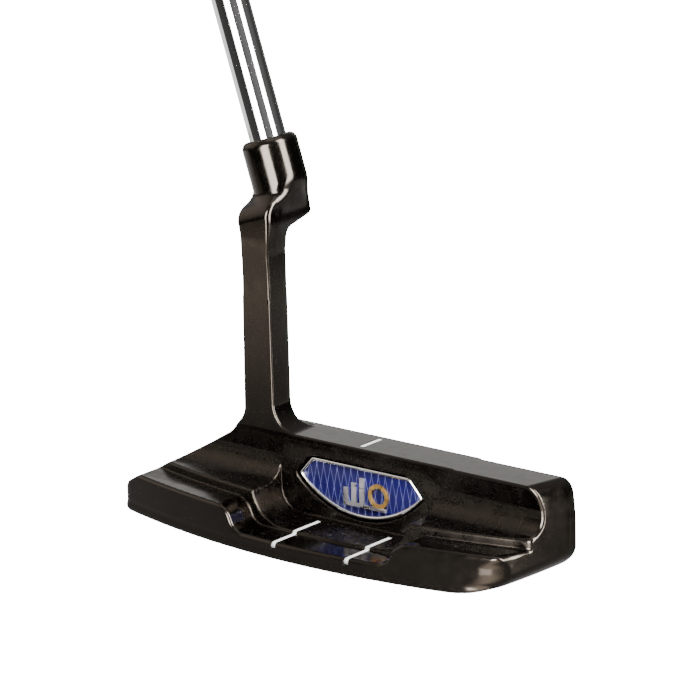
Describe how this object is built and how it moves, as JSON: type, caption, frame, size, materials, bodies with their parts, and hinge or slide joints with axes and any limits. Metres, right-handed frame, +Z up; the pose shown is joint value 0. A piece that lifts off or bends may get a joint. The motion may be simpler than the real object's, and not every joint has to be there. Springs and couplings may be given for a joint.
{
  "type": "blade putter",
  "caption": "Golf blade putter: cast head with plumber's neck, rear cavity with inlaid badge, face insert, painted sight lines, stepped steel shaft and rubber grip.",
  "frame": {"origin": "on the flat sole, under the topline sight line and 15 mm behind the striking face", "axes": "+Z up, square to the sole; +Y out of the striking face, along the putt; +X from heel to toe"},
  "size_m": [0.3559, 0.044, 0.8476],
  "materials": {
    "black_nickel": "glossy black nickel plating over cast stainless steel",
    "insert_polymer": "matte cast polymer",
    "insert_glue": "cured adhesive film",
    "badge_foam_tape": "double-sided adhesive pad",
    "blue_enamel": "deep blue enamel with a silver lattice under clear resin",
    "bezel_chrome": "bright chrome",
    "emblem_metal": "satin gold and silver raised mark",
    "white_paint": "white paint fill",
    "shaft_chrome": "mirror chrome on steel tube",
    "epoxy": "cured epoxy",
    "grip_tape": "paper-backed double-sided tape",
    "grip_rubber": "matte textured rubber",
    "cap_rubber": "moulded rubber"
  },
  "bodies": {
    "root": {"head_casting": "black_nickel", "face_insert": "insert_polymer", "face_insert_adhesive": "insert_glue", "badge_adhesive": "badge_foam_tape", "badge_plate": "blue_enamel", "badge_bezel": "bezel_chrome", "badge_emblem": "emblem_metal", "topline_sight_line": "white_paint", "flange_sight_line_heel": "white_paint", "flange_sight_line_toe": "white_paint", "shaft": "shaft_chrome", "hosel_epoxy": "epoxy", "grip_tape": "grip_tape", "grip": "grip_rubber", "grip_end_cap": "cap_rubber"}
  },
  "joints": []
}
